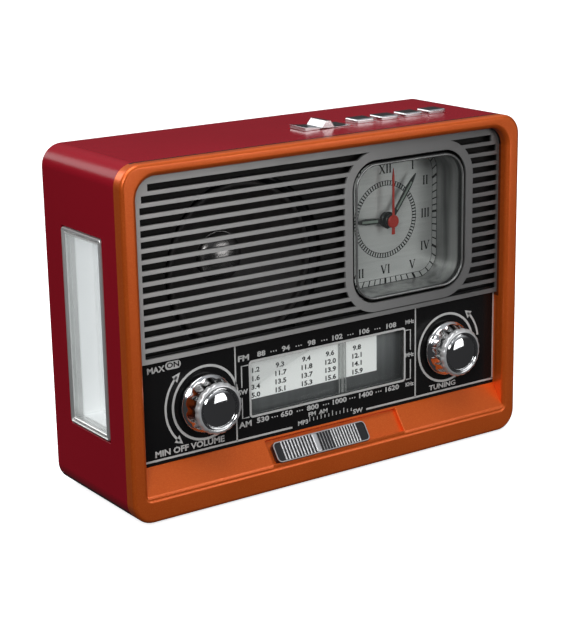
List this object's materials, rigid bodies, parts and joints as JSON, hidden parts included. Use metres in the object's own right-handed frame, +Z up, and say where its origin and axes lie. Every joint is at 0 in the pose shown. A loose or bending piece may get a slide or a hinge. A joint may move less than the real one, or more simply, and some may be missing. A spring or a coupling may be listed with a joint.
{
  "type": "clock radio",
  "caption": "Retro table radio with a rounded case, slotted grille, square clock, lit tuning scale, two knobs, a band slider on the sill, a side lamp and a folding rear antenna.",
  "frame": {"origin": "centre of the outline on the surface the feet stand on", "axes": "+X to the right seen from the front, +Y from the front to the back, +Z up"},
  "size_m": [0.21, 0.0822, 0.1567],
  "materials": {
    "red_lacquer": "high-gloss crimson lacquer",
    "black_base": "fine black texture",
    "copper_paint": "copper-orange metallic paint, semi-gloss",
    "grille_paint": "satin silver-grey paint",
    "black_panel": "black with silver print",
    "black_inside": "black moulded",
    "rear_black": "fine black texture",
    "clear_lens": "clear polished",
    "tunnel_silver": "satin silver paint",
    "dial_silver": "satin with black print",
    "hand_dark": "dark lacquer with a pale stripe",
    "hand_red": "red lacquer",
    "movement_black": "moulded",
    "cell_jacket": "printed jacket",
    "scale_print": "white with black figures",
    "guide_grey": "diffusing grey",
    "pointer_clear": "clear",
    "cord_fibre": "waxed braid",
    "drum_plastic": "moulded",
    "steel": "bright",
    "chrome_knob": "bright chrome",
    "chrome_key": "bright chrome",
    "pot_metal": "plated",
    "switch_metal": "plated",
    "basket_black": "black enamel",
    "magnet_grey": "ferrite grey",
    "cone_black": "pressed paper",
    "cap_silver": "polished",
    "bezel_satin": "satin",
    "reflector_white": "white diffusing",
    "board_green": "solder mask",
    "core_steel": "laminated, varnished",
    "ferrite_dark": "ferrite with a wound coil",
    "inlet_black": "moulded",
    "cell_blue": "shrink sleeve",
    "foot_rubber": "matt"
  },
  "bodies": {
    "case": {"cabinet": "red_lacquer", "base_cover": "black_base", "rear_cover": "rear_black", "front_frame": "copper_paint", "baffle": "black_inside", "grille": "grille_paint", "dial_panel": "black_panel", "clock_lens": "clear_lens", "clock_tunnel": "tunnel_silver", "clock_dial": "dial_silver", "clock_movement": "movement_black", "clock_cell": "cell_jacket", "scale_lens": "clear_lens", "scale_plate": "scale_print", "light_guide": "guide_grey", "dial_cord": "cord_fibre", "tuning_capacitor": "switch_metal", "volume_control": "pot_metal", "band_switch": "switch_metal", "speaker_basket": "basket_black", "speaker_magnet": "magnet_grey", "lamp_bezel": "bezel_satin", "lamp_lens": "clear_lens", "lamp_reflector": "reflector_white", "top_board": "board_green", "main_board": "board_green", "transformer": "core_steel", "ferrite_rod": "ferrite_dark", "mains_inlet": "inlet_black", "media_board": "board_green", "battery_pack": "cell_blue", "case_screws": "steel", "feet": "foot_rubber"},
    "volume": {"volume_shaft": "steel", "volume_knob": "chrome_knob", "volume_cap": "chrome_knob"},
    "tuning": {"tuning_shaft": "steel", "tuning_knob": "chrome_knob", "tuning_cap": "chrome_knob"},
    "drum": {"tuning_drum": "drum_plastic"},
    "pulley_l": {"pulley_left": "drum_plastic"},
    "pulley_r": {"pulley_right": "drum_plastic"},
    "pointer": {"dial_pointer": "pointer_clear"},
    "slider": {"band_slider": "chrome_key"},
    "key_1": {"button_1": "chrome_key"},
    "key_2": {"button_2": "chrome_key"},
    "key_3": {"button_3": "chrome_key"},
    "key_4": {"button_4": "chrome_key"},
    "rocker": {"lamp_rocker": "chrome_key"},
    "hour": {"hour_hand": "hand_dark"},
    "minute": {"minute_hand": "hand_dark"},
    "second": {"second_hand": "hand_red"},
    "setter": {"clock_set_knob": "movement_black"},
    "cone": {"speaker_cone": "cone_black", "dust_cap": "cap_silver"},
    "door": {"battery_door": "rear_black"},
    "antenna_base": {"antenna_mount": "chrome_knob"},
    "antenna_outer": {"antenna_tube": "chrome_knob"},
    "antenna_mid": {"antenna_middle": "chrome_knob"},
    "antenna_end": {"antenna_tip": "chrome_knob"}
  },
  "joints": [
    {"name": "volume_turn", "type": "hinge", "parent": "case", "child": "volume", "pos_m": [-0.064, -0.0359, 0.046], "axis": [0, 1, 0], "range_deg": [0, 300]},
    {"name": "tuning_turn", "type": "hinge", "parent": "case", "child": "tuning", "pos_m": [0.0685, -0.0359, 0.046], "axis": [0, 1, 0], "range_deg": [-700, 400]},
    {"name": "drum_turn", "type": "hinge", "parent": "case", "child": "drum", "pos_m": [0.008, -0.0159, 0.0412], "axis": [0, 1, 0], "range_deg": [-67, 117]},
    {"name": "pulley_left_turn", "type": "hinge", "parent": "case", "child": "pulley_l", "pos_m": [-0.047, -0.0189, 0.0327], "axis": [0, 1, 0], "range_deg": [-525, 918]},
    {"name": "pulley_right_turn", "type": "hinge", "parent": "case", "child": "pulley_r", "pos_m": [0.051, -0.0189, 0.0327], "axis": [0, 1, 0], "range_deg": [-525, 918]},
    {"name": "pointer_slide", "type": "slide", "parent": "case", "child": "pointer", "axis": [1, 0, 0], "range_m": [-0.0466, 0.0267]},
    {"name": "band_slide", "type": "slide", "parent": "case", "child": "slider", "axis": [1, 0, 0], "range_m": [0, 0.019]},
    {"name": "button_1_press", "type": "slide", "parent": "case", "child": "key_1", "axis": [0, 0, -1], "range_m": [0, 0.0012], "stiffness_N_per_m": 300, "springref_m": -0.001},
    {"name": "button_2_press", "type": "slide", "parent": "case", "child": "key_2", "axis": [0, 0, -1], "range_m": [0, 0.0012], "stiffness_N_per_m": 300, "springref_m": -0.001},
    {"name": "button_3_press", "type": "slide", "parent": "case", "child": "key_3", "axis": [0, 0, -1], "range_m": [0, 0.0012], "stiffness_N_per_m": 300, "springref_m": -0.001},
    {"name": "button_4_press", "type": "slide", "parent": "case", "child": "key_4", "axis": [0, 0, -1], "range_m": [0, 0.0012], "stiffness_N_per_m": 300, "springref_m": -0.001},
    {"name": "rocker_tip", "type": "hinge", "parent": "case", "child": "rocker", "pos_m": [0.0122, -0.0077, 0.1497], "axis": [0, -1, 0], "range_deg": [0, 6]},
    {"name": "minute_turn", "type": "hinge", "parent": "case", "child": "minute", "pos_m": [0.0456, -0.0159, 0.1075], "axis": [0, 1, 0], "continuous": true},
    {"name": "hour_turn", "type": "hinge", "parent": "case", "child": "hour", "pos_m": [0.0456, -0.0139, 0.1075], "axis": [0, 1, 0], "continuous": true},
    {"name": "second_turn", "type": "hinge", "parent": "case", "child": "second", "pos_m": [0.0456, -0.0179, 0.1075], "axis": [0, 1, 0], "continuous": true},
    {"name": "set_knob_turn", "type": "hinge", "parent": "case", "child": "setter", "pos_m": [0.0456, 0.0071, 0.1075], "axis": [0, 1, 0], "continuous": true},
    {"name": "cone_move", "type": "slide", "parent": "case", "child": "cone", "axis": [0, 1, 0], "range_m": [-0.001, 0.001], "stiffness_N_per_m": 1500},
    {"name": "battery_door_open", "type": "hinge", "parent": "case", "child": "door", "pos_m": [-0.05, 0.0309, 0.0124], "axis": [-1, 0, 0], "range_deg": [0, 95]},
    {"name": "antenna_swing", "type": "hinge", "parent": "case", "child": "antenna_base", "pos_m": [0.0865, 0.0301, 0.1392], "axis": [0, 1, 0], "range_deg": [0, 180]},
    {"name": "antenna_tilt", "type": "hinge", "parent": "antenna_base", "child": "antenna_outer", "pos_m": [0.0865, 0.0381, 0.1392], "axis": [0, 0, -1], "range_deg": [0, 90]},
    {"name": "antenna_middle_slide", "type": "slide", "parent": "antenna_outer", "child": "antenna_mid", "axis": [-1, 0, 0], "range_m": [0, 0.135]},
    {"name": "antenna_tip_slide", "type": "slide", "parent": "antenna_mid", "child": "antenna_end", "axis": [-1, 0, 0], "range_m": [0, 0.13]}
  ],
  "couplings": [
    {"joint": "drum_turn", "follows": "tuning_turn", "ratio": -0.16594},
    {"joint": "pulley_left_turn", "follows": "tuning_turn", "ratio": -1.3103},
    {"joint": "pulley_right_turn", "follows": "tuning_turn", "ratio": -1.3103},
    {"joint": "pointer_slide", "follows": "tuning_turn", "m_per_rad": 0.0038},
    {"joint": "minute_turn", "follows": "second_turn", "ratio": 0.016667},
    {"joint": "hour_turn", "follows": "second_turn", "ratio": 0.0013889},
    {"joint": "set_knob_turn", "follows": "second_turn", "ratio": 0.016667}
  ]
}
